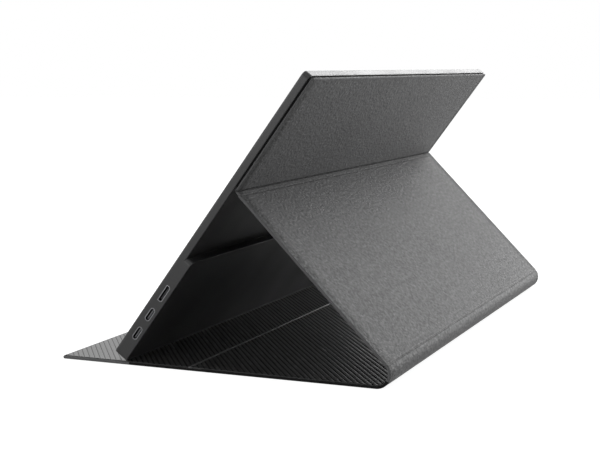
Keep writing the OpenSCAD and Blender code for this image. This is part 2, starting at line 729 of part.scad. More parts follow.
module flap_board() color([0.75, 0.7, 0.6]) at_flap() difference() {
    stiff_board(flap_start, front_len, true);
    for (x = magnet_rows) translate([x, flap_magnet_y, skin_t])
        cube([magnet_len + 2 * magnet_gap, magnet_w + 2 * magnet_gap, 4 * stiff_t], center = true);
}

module flap_magnets() color([0.65, 0.65, 0.68]) at_flap()
    for (x = magnet_rows) translate([x - magnet_len / 2, flap_magnet_y - magnet_w / 2, skin_t])
        cube([magnet_len, magnet_w, stiff_t]);

// The flap's frame is mirrored, so its ribs slant the other way there and line up with the floor panel's
module flap_lining() color([0.14, 0.14, 0.15]) at_flap()
    ribbed_lining(flap_start, front_len, 0, true, -rib_angle);

rear_shell();
front_bezel();
lcd_panel();
light_guide();
lamp_strip();
panel_tray();
panel_board();
panel_cable();
main_board();
board_screws();
usb_c_socket_lower();
usb_c_socket_upper();
mini_hdmi_socket();
headphone_jack();
button_board();
power_button();
menu_wheel();
wheel_axle();
speaker_left();
speaker_right();
shell_magnets();
upper_skin();
upper_board();
upper_lining();
cover_magnets();
fold_strip();
support_skin();
support_board();
support_lining();
spine_lining();
spine_skin();
floor_skin();
floor_board();
floor_lining();
crease_strip();
flap_skin();
flap_board();
flap_lining();
flap_magnets();
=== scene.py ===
import math

import bpy
from mathutils import Matrix, Vector


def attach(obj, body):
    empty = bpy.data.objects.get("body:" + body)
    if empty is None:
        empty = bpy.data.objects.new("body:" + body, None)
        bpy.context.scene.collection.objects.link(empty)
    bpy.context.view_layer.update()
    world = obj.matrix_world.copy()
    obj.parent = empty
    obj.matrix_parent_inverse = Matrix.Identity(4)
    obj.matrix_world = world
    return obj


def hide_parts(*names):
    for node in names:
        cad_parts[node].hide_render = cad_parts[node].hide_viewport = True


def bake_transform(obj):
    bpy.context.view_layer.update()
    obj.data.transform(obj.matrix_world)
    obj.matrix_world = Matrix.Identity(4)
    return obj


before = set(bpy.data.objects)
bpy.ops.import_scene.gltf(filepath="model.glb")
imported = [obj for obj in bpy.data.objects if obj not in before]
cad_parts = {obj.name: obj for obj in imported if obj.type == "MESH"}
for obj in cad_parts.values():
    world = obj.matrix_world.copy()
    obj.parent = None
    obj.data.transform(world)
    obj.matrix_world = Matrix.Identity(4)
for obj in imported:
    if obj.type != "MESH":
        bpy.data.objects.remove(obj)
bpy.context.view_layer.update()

# Sizes in millimetres, the same as the part's source has them
MM = 0.001
MONITOR_W = 355
MONITOR_H = 205
BASE_T = 9
TOP_T = 4.6
EDGE_R = 1
COVER_W = 354.6
COVER_R = 1.7
FOLD_AT = 127
KICK_LEN = 126.3
SPINE_R = 8.5
REAR_LEN = 114.4
FRONT_LEN = 85.6
TOP_GAP = 0.4
SKIN_T = 0.5
BOARD_T = 0.9
LINING_T = 0.35
RIM_W = 1.2
RIM_H = SKIN_T + BOARD_T + LINING_T
UPPER_RIM_H = 1.1
UPPER_T = RIM_H + 0.4
SLOT_IN = 0.6
RIB_H = 0.25
RIB_PITCH = 2.94
RIB_ANGLE = math.radians(36.6)
LEAN = math.radians(36.7)
FOOT_GAP = 0.05
HALF = COVER_W / 2
INSIDE = RIM_W + 0.3
UPPER_LEN = MONITOR_H - TOP_GAP - FOLD_AT
LINING_Z = SKIN_T + BOARD_T


def side(y, z):
    return Vector((0, y, z))


# The side view: the monitor's foot, the fold behind it, and the middle of the rounded spine
up_a = side(math.sin(LEAN), math.cos(LEAN))
back_a = side(math.cos(LEAN), -math.sin(LEAN))
edge_z = RIM_H + RIB_H + FOOT_GAP + EDGE_R - EDGE_R * (math.sin(LEAN) + math.cos(LEAN))
fold_0 = side(0, edge_z) + up_a * FOLD_AT - back_a * (BASE_T - TOP_T - UPPER_T)
to_spine = math.hypot(KICK_LEN, SPINE_R)
reach = math.acos((fold_0.z - SPINE_R) / to_spine)
LEAN_B = reach + math.asin(SPINE_R / to_spine)
spine_0 = fold_0.y + to_spine * math.sin(reach)
mid_y = (2 * spine_0 + SPINE_R - REAR_LEN - FRONT_LEN) / 2
foot = side(-mid_y, edge_z)
fold = fold_0 - side(mid_y, 0)
spine = side(spine_0 - mid_y, SPINE_R)
up_b = side(-math.sin(LEAN_B), math.cos(LEAN_B))

# Distances along the cover, counted from the fold behind the monitor down to the front edge
SPINE_TURN = math.pi / 2 + LEAN_B
S_SPINE = KICK_LEN
S_FLOOR = S_SPINE + SPINE_R * SPINE_TURN
S_CREASE = S_FLOOR + REAR_LEN
S_END = S_CREASE + FRONT_LEN
# The cover's painted shade, on its cut edge and in the lining's wide grooves, ends here, a little in front
# of the monitor's lower back edge
FOOT_REACH = 6.5
S_FOOT = S_FLOOR + spine.y - foot.y + FOOT_REACH
FOLD_TURN = LEAN + LEAN_B
FOLD_R = 0.6
FOLD_TANGENT = FOLD_R * math.tan(FOLD_TURN / 2)


def place(x, s, z):
    """The point x across the cover, s along it and z inwards from its outer face, in millimetres."""
    if s < -FOLD_TANGENT:
        p = fold - up_a * s - back_a * z
    elif s < FOLD_TANGENT:
        turn = (s + FOLD_TANGENT) / (2 * FOLD_TANGENT) * FOLD_TURN
        centre = fold + up_a * FOLD_TANGENT + back_a * FOLD_R
        angle = LEAN - turn
        p = centre - side(math.cos(angle), -math.sin(angle)) * (FOLD_R + z)
    elif s < S_SPINE:
        p = fold - up_b * s - side(math.cos(LEAN_B), math.sin(LEAN_B)) * z
    elif s < S_FLOOR:
        angle = LEAN_B - (s - S_SPINE) / SPINE_R
        p = spine + side(math.cos(angle), math.sin(angle)) * (SPINE_R - z)
    else:
        p = side(spine.y - (s - S_FLOOR), z)
    return Vector((x, p.y, p.z))


# Mesh code


class Builder:
    """Collects corners by their place on the sheet, so faces that meet share their corners."""

    def __init__(self):
        self.index = {}
        self.corners = []
        self.faces = []
        self.finishes = []

    def corner(self, *key):
        short = tuple(round(v, 4) for v in key)
        if short not in self.index:
            self.index[short] = len(self.corners)
            self.corners.append(key)
        return self.index[short]

    def face(self, keys, finish=0):
        ids = []
        for key in keys:
            i = self.corner(*key)
            if i not in ids:
                ids.append(i)
        if len(ids) > 2:
            self.faces.append(ids)
            self.finishes.append(finish)

    def make(self, name, position, smooth_angle=35):
        """The object: position gives the place of each corner, and the normals are turned outwards."""
        mesh = bpy.data.meshes.new(name)
        mesh.from_pydata([position(*c) * MM for c in self.corners], [], self.faces)
        mesh.polygons.foreach_set("material_index", self.finishes)
        mesh.validate()
        obj = bpy.data.objects.new(name, mesh)
        bpy.context.collection.objects.link(obj)
        bpy.context.view_layer.objects.active = obj
        obj.select_set(True)
        bpy.ops.object.mode_set(mode="EDIT")
        bpy.ops.mesh.select_all(action="SELECT")
        bpy.ops.mesh.normals_make_consistent(inside=False)
        bpy.ops.object.mode_set(mode="OBJECT")
        bpy.ops.object.shade_smooth_by_angle(angle=math.radians(smooth_angle))
        obj.select_set(False)
        return obj


def spread(a, b, step):
    """Equal steps from a to b, none longer than step."""
    n = max(1, math.ceil((b - a) / step))
    return [a + (b - a) * i / n for i in range(n + 1)]


def around(middle, distance, step):
    """Equal steps over the distance to each side of middle."""
    return spread(middle - distance, middle + distance, step)


# The skin's free edge, cut through: distance in from the edge and depth inwards from the outer face,
# first for the skin's outside and then for its inside, from the tucked end round to the flat face
EDGE_CUT = [
    ((1.50, 1.46), (1.50, 1.40)),
    ((1.20, 1.48), (1.40, 1.40)),
    ((1.16, 1.68), (1.30, 1.40)),
    ((1.00, 1.74), (1.20, 1.40)),
    ((0.75, 1.75), (1.20, 1.30)),
    ((0.40, 1.68), (1.20, 1.20)),
    ((0.14, 1.50), (1.20, 1.10)),
    ((0.03, 1.25), (1.20, 1.00)),
    ((0.00, 0.90), (1.20, 0.80)),
    ((0.03, 0.55), (1.20, 0.60)),
    ((0.16, 0.24), (1.20, 0.50)),
    ((0.42, 0.06), (1.25, 0.50)),
    ((0.80, 0.00), (1.40, 0.50)),
    ((1.40, 0.01), (1.60, 0.50)),
    ((2.00, 0.05), (2.10, 0.50)),
    ((2.60, 0.08), (2.60, 0.50)),
    ((3.40, 0.08), (3.40, 0.50)),
    ((4.60, 0.06), (4.60, 0.50)),
    ((6.40, 0.02), (6.40, 0.50)),
    ((8.50, 0.00), (8.50, 0.50)),
]
DEEPEST = EDGE_CUT[-1][0][0]
OUTSIDE, WITHIN = 0, 1

# A skin's finishes, in the order of its materials, and the rows of the edge that have their own. The cut
# edge's, the pressed lines' and the fold's finishes are darker leathers: painted shade
PLAIN, TUCKED, CUT, PRESSED_SHADE, FOLD_SHADE = range(5)
TUCKED_ROWS = range(0, 2)
CUT_ROWS = range(5, 13)
# The length over which that cut edge gets a dark leather, painted shade: from about the middle of the spine
# to the monitor's foot
DARK_SHARE = 0.55
SHADED_EDGE_SPAN = (S_SPINE + DARK_SHARE * SPINE_R * SPINE_TURN, S_FOOT)

# Grooves pressed across the skin: where, width, depth and finish, a darker leather that is painted shade in
# the groove.
# WITHIN_SHARE is the part of the depth that reaches the skin's inside
WITHIN_SHARE = 0.9
FOLD_ROW = (0.0, 0.4, 0.5, FOLD_SHADE)
SECOND_ROW = (3.6, 0.4, 0.08, PRESSED_SHADE)
SPINE_ROW = (S_SPINE + 1.1, 0.7, 0.28, PRESSED_SHADE)
FOLD_ROWS = (FOLD_ROW, SECOND_ROW)

CORNER_STEPS = 8
ACROSS = spread(-(HALF - DEEPEST), HALF - DEEPEST, 14)


def free_edges(stations, closed_at):
    """The lines of points round a panel's free edges, each point as a function of the distance in from
    the edge. Without closed_at they are its two sides, and with it one line round that end too."""
    if closed_at is not None:
        away = math.copysign(1, closed_at - stations[0])

    def on_side(sign, s):
        def at(d):
            inner = s
            if closed_at is not None:
                far = closed_at - away * d
                inner = min(s, far) if away > 0 else max(s, far)
            return sign * (HALF - d), inner

        return at

    def on_end(x):
        def at(d):
            return max(-(HALF - d), min(HALF - d, x)), closed_at - away * d

        return at

    def on_corner(sign, turn):
        def at(d):
            r = COVER_R - d
            # Further in than the corner's radius, the line has a square corner
            across, along = (math.cos(turn), math.sin(turn)) if r > 0 else (1, 1)
            return sign * (HALF - COVER_R + r * across), closed_at - away * COVER_R + away * r * along

        return at

    left = [on_side(-1, s) for s in stations]
    if closed_at is None:
        return [left, [on_side(1, s) for s in stations]]
    turns = [math.pi / 2 * i / CORNER_STEPS for i in range(CORNER_STEPS + 1)]
    points = left + [on_corner(-1, t) for t in turns]
    points += [on_end(x) for x in ACROSS if abs(x) < HALF - DEEPEST - 0.01]
    points += [on_corner(1, t) for t in reversed(turns)]
    points += [on_side(1, s) for s in reversed(stations)]
    return [points]


def wrap_edge(b, p, q, dark):
    """The skin between two points of a free edge, outside and within, and the tucked end's lip."""
    for row, (cut_1, cut_2) in enumerate(zip(EDGE_CUT, EDGE_CUT[1:])):
        for layer in (OUTSIDE, WITHIN):
            (d1, z1), (d2, z2) = cut_1[layer], cut_2[layer]
            finish = PLAIN
            if layer == OUTSIDE and row in TUCKED_ROWS:
                finish = TUCKED
            # Over the shaded length the cut edge's outside gets the dark leather, painted shade
            elif layer == OUTSIDE and row in CUT_ROWS and dark:
                finish = CUT
            b.face([(*p(d1), z1, layer), (*q(d1), z1, layer),
                    (*q(d2), z2, layer), (*p(d2), z2, layer)], finish)
    (d1, z1), (d2, z2) = EDGE_CUT[0]
    b.face([(*p(d1), z1, OUTSIDE), (*q(d1), z1, OUTSIDE), (*q(d2), z2, WITHIN), (*p(d2), z2, WITHIN)])


def fill_middle(b, stations, closed_at):
    """The flat skin between the free edges, outside and within."""
    inner = list(stations)
    if closed_at is not None:
        inner.append(closed_at - math.copysign(DEEPEST, closed_at - stations[0]))
    for s1, s2 in zip(inner, inner[1:]):
        for x1, x2 in zip(ACROSS, ACROSS[1:]):
            for z, layer in ((0, OUTSIDE), (SKIN_T, WITHIN)):
                b.face([(x1, s1, z, layer), (x2, s1, z, layer), (x2, s2, z, layer), (x1, s2, z, layer)])


def close_end(b, s):
    """The skin's thickness where the piece ends against the next one."""
    for sign in (-1, 1):
        for (out_1, in_1), (out_2, in_2) in zip(EDGE_CUT, EDGE_CUT[1:]):
            b.face([(sign * (HALF - d), s, z, layer) for (d, z), layer in (
                (out_1, OUTSIDE), (out_2, OUTSIDE), (in_2, WITHIN), (in_1, WITHIN))])
    for x1, x2 in zip(ACROSS, ACROSS[1:]):
        b.face([(x1, s, 0, OUTSIDE), (x2, s, 0, OUTSIDE), (x2, s, SKIN_T, WITHIN), (x1, s, SKIN_T, WITHIN)])


def finish_rows(b, rows):
    """Gives the faces that lie in a groove, on the skin's outside, the groove's finish: a darker leather,
    painted shade.
    """
    for i, ids in enumerate(b.faces):
        middle = sum(b.corners[c][1] for c in ids) / len(ids)
        flat = all(b.corners[c][2] < SKIN_T and b.corners[c][3] == OUTSIDE for c in ids)
        for where, width, _, finish in rows:
            if flat and abs(middle - where) < width:
                b.finishes[i] = finish


def groove_depth(s, where, width, depth, _):
    """How deep one groove is at the distance s along the cover."""
    return depth * math.exp(-(((s - where) / width) ** 2))


def skin_piece(name, stations, closed_at=None, rows=(), rim_h=RIM_H, dark=None):
    """The leather of one panel: wrapped round both sides and, at closed_at, round the far end too.
    rows are the grooves pressed across it, and dark is the length over which its edge gets painted shade."""
    b = Builder()
    for line in free_edges(stations, closed_at):
        for p, q in zip(line, line[1:]):
            wrap_edge(b, p, q, dark is not None and dark[0] < p(0)[1] < dark[1])
    fill_middle(b, stations, closed_at)
    close_end(b, stations[0])
    if closed_at is None:
        close_end(b, stations[-1])
    finish_rows(b, rows)

    def position(x, s, z, layer):
        if z > SKIN_T:
            z = SKIN_T + (z - SKIN_T) * (rim_h - SKIN_T) / (RIM_H - SKIN_T)
        elif layer == OUTSIDE or z == SKIN_T:
            z += sum(groove_depth(s, *row) for row in rows) * (1 if layer == OUTSIDE else WITHIN_SHARE)
        return place(x, s, z)

    return b.make(name, position)


# One pitch of the ribbed lining: distance along the pitch and height
RIB_STEPS = 12
RIB_CUT = [(RIB_PITCH * i / RIB_STEPS, RIB_H * (1 - (2 * i / RIB_STEPS - 1) ** 2) ** 0.6)
           for i in range(RIB_STEPS)]
RIB_SMOOTH_ANGLE = 25

# The lining's finishes: the groove's far darker cloth is painted shade. A strip belongs to the groove where
# its two heights add up to less than this share of a rib's height, and the wide groove, more painted shade,
# is the one behind the monitor's foot
CREST, GROOVE = 0, 1
GROOVE_SHARE = 0.5
WIDE_GROOVE_SHARE = 1.25


def clip(polygon, a, b, c):
    """The part of a convex polygon where a * x + b * y >= c."""
    out = []
    for p, q in zip(polygon, polygon[1:] + polygon[:1]):
        dp = a * p[0] + b * p[1] - c
        dq = a * q[0] + b * q[1] - c
        if dp >= 0:
            out.append(p)
        if dp * dq < 0:
            t = dp / (dp - dq)
            out.append((p[0] + t * (q[0] - p[0]), p[1] + t * (q[1] - p[1])))
    return out


def on_plan_edge(p, q, plan):
    """Whether the line from p to q lies on the outline of the plan."""
    for a, c in zip(plan, plan[1:] + plan[:1]):
        length = math.hypot(c[0] - a[0], c[1] - a[1])
        if length < 1e-6:
            continue
        nx, ny = (c[1] - a[1]) / length, -(c[0] - a[0]) / length
        if all(abs((r[0] - a[0]) * nx + (r[1] - a[1]) * ny) < 1e-5 for r in (p, q)):
            return True
    return False


def ribbed_piece(name, s0, s1, crosslines=(), corner_cut=0.0):
    """The lining's ribs, cut to the panel's outline. They run on from panel to panel, and the groove's dark
    cloth, painted shade, is wider behind the monitor's foot, where it stands for the monitor's shade.
    corner_cut takes off the two corners at s1."""
    b = Builder()
    half = HALF - INSIDE
    plan = [(-half, s0), (half, s0), (half, s1), (-half, s1)]
    if corner_cut > 0:
        for sign in (1, -1):
            plan = clip(plan, -sign, -1, corner_cut - half - s1)
    ax, ay = math.sin(RIB_ANGLE), math.cos(RIB_ANGLE)

    def along(p):
        return p[0] * ax + (p[1] - S_CREASE) * ay

    low = min(along(p) for p in plan)
    high = max(along(p) for p in plan)
    lines = []
    for i in range(math.floor(low / RIB_PITCH) - 1, math.ceil(high / RIB_PITCH) + 1):
        lines += [(i * RIB_PITCH + u, h) for u, h in RIB_CUT]
    cuts = [s0, *crosslines, s1]
    for (u1, h1), (u2, h2) in zip(lines, lines[1:]):
        if u2 <= low or u1 >= high:
            continue
        strip = clip(clip(plan, ax, ay, u1 + S_CREASE * ay), -ax, -ay, -(u2 + S_CREASE * ay))
        if len(strip) < 3:
            continue
        for c1, c2 in zip(cuts, cuts[1:]):
            cell = clip(clip(strip, 0, 1, c1), 0, -1, -c2)
            if len(cell) < 3:
                continue
            top = []
            for p in cell:
                t = min(1, max(0, (along(p) - u1) / (u2 - u1)))
                top.append((p[0], p[1], LINING_Z + LINING_T + h1 + (h2 - h1) * t))
            bottom = [(p[0], p[1], LINING_Z) for p in cell]
            # The grooves get the dark cloth, painted shade, over more of each rib behind the monitor's foot
            share = WIDE_GROOVE_SHARE if c2 <= S_FOOT else GROOVE_SHARE
            b.face(top, GROOVE if h1 + h2 < RIB_H * share else CREST)
            b.face(bottom[::-1])
            for j in range(len(cell)):
                k = (j + 1) % len(cell)
                if on_plan_edge(cell[j], cell[k], plan):
                    b.face([bottom[j], bottom[k], top[k], top[j]])
    return b.make(name, place, RIB_SMOOTH_ANGLE)


BAND_STEP = 20


def band_piece(name, profile, half, low_z):
    """A band across the cover with the given cut: (distance along, height) for its upper face."""
    b = Builder()
    xs = spread(-half, half, BAND_STEP)
    for x1, x2 in zip(xs, xs[1:]):
        for (s1, z1), (s2, z2) in zip(profile, profile[1:]):
            b.face([(x1, s1, z1), (x2, s1, z1), (x2, s2, z2), (x1, s2, z2)])
            b.face([(x1, s1, low_z), (x2, s1, low_z), (x2, s2, low_z), (x1, s2, low_z)])
        for s, z in (profile[0], profile[-1]):
            b.face([(x1, s, low_z), (x2, s, low_z), (x2, s, z), (x1, s, z)])
    for x in (xs[0], xs[-1]):
        for (s1, z1), (s2, z2) in zip(profile, profile[1:]):
            b.face([(x, s1, low_z), (x, s2, low_z), (x, s2, z2), (x, s1, z1)])
    return b.make(name, place)


# A dark rubber strip round the monitor's lower back edge, on which it stands: a piece put there for shade,
# to darken the edge and keep light from leaking under the foot
STRIP_T = 0.26
STRIP_EDGE_T = 0.05
STRIP_SUNK = 0.02
STRIP_STEP = 25
STRIP_HALF = MONITOR_W / 2 - 3.5
STRIP_TURNS = spread(math.radians(4), math.radians(86), math.radians(9))


def round_foot(x, turn, r):
    """A point on the rounded lower back edge; turn goes from straight down the monitor to its back."""
    centre = foot + up_a * EDGE_R - back_a * EDGE_R
    p = centre - up_a * (r * math.cos(turn)) + back_a * (r * math.sin(turn))
    return Vector((x, p.y, p.z))


def foot_shade_strip():
    b = Builder()
    inner = EDGE_R - STRIP_SUNK
    thickness = [STRIP_T] * len(STRIP_TURNS)
    thickness[0] = thickness[-1] = STRIP_EDGE_T
    cut = [(t, EDGE_R + thick) for t, thick in zip(STRIP_TURNS, thickness)]
    ring = cut + [(t, inner) for t in reversed(STRIP_TURNS)]
    xs = spread(-STRIP_HALF, STRIP_HALF, STRIP_STEP)
    for x1, x2 in zip(xs, xs[1:]):
        for (t1, r1), (t2, r2) in zip(ring, ring[1:] + ring[:1]):
            b.face([(x1, t1, r1), (x2, t1, r1), (x2, t2, r2), (x1, t2, r2)])
    for x in (xs[0], xs[-1]):
        for (t1, r1), (t2, r2) in zip(cut, cut[1:]):
            b.face([(x, t1, r1), (x, t2, r2), (x, t2, inner), (x, t1, inner)])
    return b.make("foot_shade_strip", round_foot)


# Materials: each is a small tree of nodes in object space, with its sizes in metres


def material(name, base, roughness, metallic=0.0, specular=0.5):
    m = bpy.data.materials.new(name)
    m.use_nodes = True
    shader = m.node_tree.nodes["Principled BSDF"]
    shader.inputs["Base Color"].default_value = (*base, 1)
    shader.inputs["Roughness"].default_value = roughness
    shader.inputs["Metallic"].default_value = metallic
    shader.inputs["Specular IOR Level"].default_value = specular
    return m, m.node_tree, shader


def node(tree, kind, **settings):
    """A new node: a setting goes to the input of that name, or else to the node itself."""
    n = tree.nodes.new(kind)
    for key, value in settings.items():
        if key in n.inputs:
            n.inputs[key].default_value = value
        else:
            setattr(n, key, value)
    return n


def object_place(tree):
    return node(tree, "ShaderNodeTexCoord").outputs["Object"]


def stretched_place(tree, scale=(1, 1, 1)):
    mapping = node(tree, "ShaderNodeMapping", Scale=scale)
    tree.links.new(object_place(tree), mapping.inputs["Vector"])
    return mapping.outputs["Vector"]


def object_x(tree):
    parts = node(tree, "ShaderNodeSeparateXYZ")
    tree.links.new(object_place(tree), parts.inputs["Vector"])
    return parts.outputs["X"]


def noise(tree, vector, scale, detail=2.0):
    n = node(tree, "ShaderNodeTexNoise", Scale=scale, Detail=detail)
    tree.links.new(vector, n.inputs["Vector"])
    return n.outputs["Fac"]


def round_cells(tree, vector, scale, smoothness):
    n = node(tree, "ShaderNodeTexVoronoi", feature="SMOOTH_F1", Scale=scale)
    n.inputs["Smoothness"].default_value = smoothness
    tree.links.new(vector, n.inputs["Vector"])
    return n.outputs["Distance"]


def remap(tree, value, low, high, to_low, to_high):
    n = node(tree, "ShaderNodeMapRange")
    for key, v in (("From Min", low), ("From Max", high), ("To Min", to_low), ("To Max", to_high)):
        n.inputs[key].default_value = v
    tree.links.new(value, n.inputs["Value"])
    return n.outputs["Result"]


def maths(tree, operation, a, b):
    n = node(tree, "ShaderNodeMath", operation=operation)
    for i, v in enumerate((a, b)):
        if isinstance(v, (int, float)):
            n.inputs[i].default_value = v
        else:
            tree.links.new(v, n.inputs[i])
    return n.outputs["Value"]


def times(tree, a, b):
    return maths(tree, "MULTIPLY", a, b)


def total(tree, first, *others):
    for other in others:
        first = maths(tree, "ADD", first, other)
    return first


def shade(tree, shader, value, first, last):
    """The base colour runs from the first colour to the last as the value goes from 0 to 1."""
    ramp = node(tree, "ShaderNodeValToRGB")
    ramp.color_ramp.elements[0].color = (*first, 1)
    ramp.color_ramp.elements[1].color = (*last, 1)
    tree.links.new(value, ramp.inputs["Fac"])
    tree.links.new(ramp.outputs["Color"], shader.inputs["Base Color"])


def bump(tree, shader, height, distance, strength):
    n = node(tree, "ShaderNodeBump", Strength=strength, Distance=distance)
    tree.links.new(height, n.inputs["Height"])
    tree.links.new(n.outputs["Normal"], shader.inputs["Normal"])


def grey(v):
    """A neutral grey, a touch to the blue."""
    return (v, v, v * 1.01)


def tinted(colour, factor):
    return tuple(min(1, v * factor) for v in colour)


# The leather's grain: its scales, and its depth in metres. Its tone changes between these distances
# from the cover's side: a painted highlight on the rounded edge up to where that ends, and painted shade in
# the pressed valley, where it begins and ends
LUMP_SCALE = 640
GRAIN_SCALE = 560
PATCH_SCALE = 24
GRAIN_DEPTH = 0.00034
PAINTED_HIGHLIGHT_ENDS = (0.0003, 0.0007)
VALLEY_BEGINS = (0.0006, 0.0012)
VALLEY_ENDS = (0.0040, 0.0095)


def leather(name, tone, specular=0.2):
    """Grained artificial leather, with painted shade in the valley pressed along its sides and a painted
    highlight on the rounded edge."""
    m, tree, shader = material(name, grey(tone), 0.6, specular=specular)
    where = stretched_place(tree, (0.6, 1, 1))
    lumps = round_cells(tree, where, LUMP_SCALE, 0.5)
    fine = noise(tree, where, GRAIN_SCALE, 3.0)
    broad = noise(tree, where, PATCH_SCALE, 3.0)
    bump(tree, shader, total(tree, times(tree, lumps, 0.5), fine), GRAIN_DEPTH, 1.0)

    # Painted shade in the pressed valley along the sides, and a painted highlight on the rounded edge
    inward = maths(tree, "SUBTRACT", HALF * MM, maths(tree, "ABSOLUTE", object_x(tree), 0.0))
    valley_start = remap(tree, inward, *VALLEY_BEGINS, 0.0, 1.0)
    valley_end = remap(tree, inward, *VALLEY_ENDS, 1.0, 0.0)
    rounded = remap(tree, inward, *PAINTED_HIGHLIGHT_ENDS, -0.4, 0.0)
    grain = remap(tree, fine, 0.25, 0.75, 0.06, 0.43)
    patches = remap(tree, broad, 0.3, 0.7, 0.0, 0.12)
    valley = times(tree, times(tree, valley_start, valley_end), 0.65)
    grain_and_painted_shade = total(tree, grain, patches, valley, rounded)
    shade(tree, shader, grain_and_painted_shade, grey(tone * 1.3), grey(tone * 0.2))
    tree.links.new(remap(tree, fine, 0.3, 0.7, 0.56, 0.7), shader.inputs["Roughness"])
    return m


def microfibre(name, tone, roughness, specular):
    m, tree, shader = material(name, grey(tone), roughness, specular=specular)
    where = stretched_place(tree)
    fibres = noise(tree, where, 3200)
    broad = noise(tree, where, 40)
    bump(tree, shader, fibres, 0.00006, 0.6)
    value = total(tree, times(tree, fibres, 0.7), times(tree, broad, 0.3))
    shade(tree, shader, value, grey(tone * 0.7), grey(tone * 1.3))
    return m


def anodised(name, tone, roughness):
    m, tree, shader = material(name, grey(tone), roughness, metallic=0.2, specular=0.25)
    where = stretched_place(tree)
    sand = noise(tree, where, 5200)
    broad = noise(tree, where, 18)
    bump(tree, shader, sand, 0.00003, 0.5)
    value = total(tree, times(tree, sand, 0.5), times(tree, broad, 0.5))
    shade(tree, shader, value, grey(tone * 0.9), grey(tone * 1.1))
    rough = remap(tree, broad, 0.3, 0.7, roughness - 0.04, roughness + 0.05)
    tree.links.new(rough, shader.inputs["Roughness"])
    return m


def plastic(name, tone, roughness, grain=4200, depth=0.00004, specular=0.5):
    m, tree, shader = material(name, tone, roughness, specular=specular)
    sand = noise(tree, stretched_place(tree), grain)
    bump(tree, shader, sand, depth, 0.5)
    shade(tree, shader, sand, tinted(tone, 0.85), tinted(tone, 1.15))
    return m


def metal(name, tone, roughness, stretch=(1, 1, 1)):
    m, tree, shader = material(name, tone, roughness, metallic=1.0)
    lines = noise(tree, stretched_place(tree, stretch), 900, 3.0)
    bump(tree, shader, lines, 0.00002, 0.4)
    rough = remap(tree, lines, 0.3, 0.7, roughness * 0.8, roughness * 1.25)
    tree.links.new(rough, shader.inputs["Roughness"])
    shade(tree, shader, lines, tinted(tone, 0.9), tinted(tone, 1.08))
    return m


def socket_metal(name):
    """Sheet metal, bright at the mouth and dark further in, by the distance from the monitor's side: partly
    the black inside's own colour and partly painted shade in the socket.
    """
    m, tree, shader = material(name, (0.6, 0.6, 0.62), 0.3, metallic=1.0)
    side_x = MONITOR_W / 2 * MM
    # Painted shade: the metal darkens with the depth into the socket
    mouth = remap(tree, object_x(tree), side_x - 0.0013, side_x - 0.0005, 0.0, 1.0)
    grain = noise(tree, object_place(tree), 2500)
    value = times(tree, mouth, remap(tree, grain, 0.2, 0.8, 0.85, 1.0))
    shade(tree, shader, value, (0.03, 0.03, 0.031), (0.24, 0.24, 0.25))
    bump(tree, shader, grain, 0.00001, 0.3)
    return m


# The darker copies of the leather are painted shade: in the pressed lines, on the cut edge and along the
# fold. The far darker groove cloth is painted shade in the lining's grooves, and the lighter cloth of the
# crease's ridge is a painted highlight
LEATHER = leather("grained_leather", 0.105)
LEATHER_LINE_SHADE = leather("pressed_line_painted_shade", 0.045)
LEATHER_EDGE_SHADE = leather("edge_painted_shade_leather", 0.008, 0.06)
LEATHER_FOLD_SHADE = leather("fold_painted_shade_leather", 0.02, 0.1)
CLOTH = microfibre("ribbed_microfibre", 0.036, 0.3, 0.5)
CLOTH_GROOVE_SHADE = microfibre("groove_shade_microfibre", 0.003, 0.45, 0.25)
TUCK = microfibre("tucked_microfibre", 0.007, 0.8, 0.08)
CLOTH_RIDGE_HIGHLIGHT = microfibre("ridge_highlight_microfibre", 0.1, 0.45, 0.5)
HOUSING = anodised("anodised_housing", 0.04, 0.38)
BUTTON = anodised("anodised_button", 0.1, 0.4)
BEZEL = plastic("black_frame", (0.012, 0.012, 0.013), 0.42)
BLACK = plastic("black_plastic", (0.02, 0.02, 0.02), 0.4)
WHEEL = plastic("milled_wheel", (0.012, 0.012, 0.013), 0.5)
SCREEN = plastic("dark_panel", (0.008, 0.008, 0.010), 0.16, 9000, 0.000004, 0.55)
GUIDE = plastic("clear_guide", (0.8, 0.84, 0.86), 0.2)
LAMPS = plastic("lamp_phosphor", (0.8, 0.68, 0.25), 0.35)
CIRCUIT = plastic("solder_mask", (0.02, 0.13, 0.07), 0.35, 1500)
RIBBON = plastic("amber_film", (0.55, 0.3, 0.06), 0.3, 1500)
BOARD = plastic("pressed_fibre_board", (0.035, 0.035, 0.036), 0.8, 1800, 0.0001, 0.2)
SHADE_RUBBER = plastic("foot_shade_rubber", (0.012, 0.012, 0.012), 0.7, 2600, 0.00003, 0.25)
TRAY = metal("tray_sheet", (0.6, 0.61, 0.63), 0.35, (1, 12, 12))
STEEL = metal("plain_steel", (0.55, 0.55, 0.57), 0.3)
NICKEL = metal("nickel", (0.6, 0.58, 0.54), 0.25)
SOCKET = socket_metal("socket_sheet")

NODE_FINISH = {
    "rear_shell": HOUSING, "front_bezel": BEZEL, "lcd_panel": SCREEN, "light_guide": GUIDE,
    "lamp_strip": LAMPS, "panel_tray": TRAY, "panel_board": CIRCUIT, "panel_cable": RIBBON,
    "main_board": CIRCUIT, "board_screws": STEEL, "usb_c_socket_lower": SOCKET,
    "usb_c_socket_upper": SOCKET, "mini_hdmi_socket": SOCKET, "headphone_jack": BLACK,
    "button_board": CIRCUIT, "power_button": BUTTON, "menu_wheel": WHEEL, "wheel_axle": STEEL,
    "speaker_left": BLACK, "speaker_right": BLACK, "shell_magnets": NICKEL, "upper_board": BOARD,
    "cover_magnets": NICKEL, "support_board": BOARD, "floor_board": BOARD, "flap_board": BOARD,
    "flap_magnets": NICKEL,
}
for name, finish in NODE_FINISH.items():
    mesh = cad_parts[name].data
    mesh.materials.clear()
    mesh.materials.append(finish)

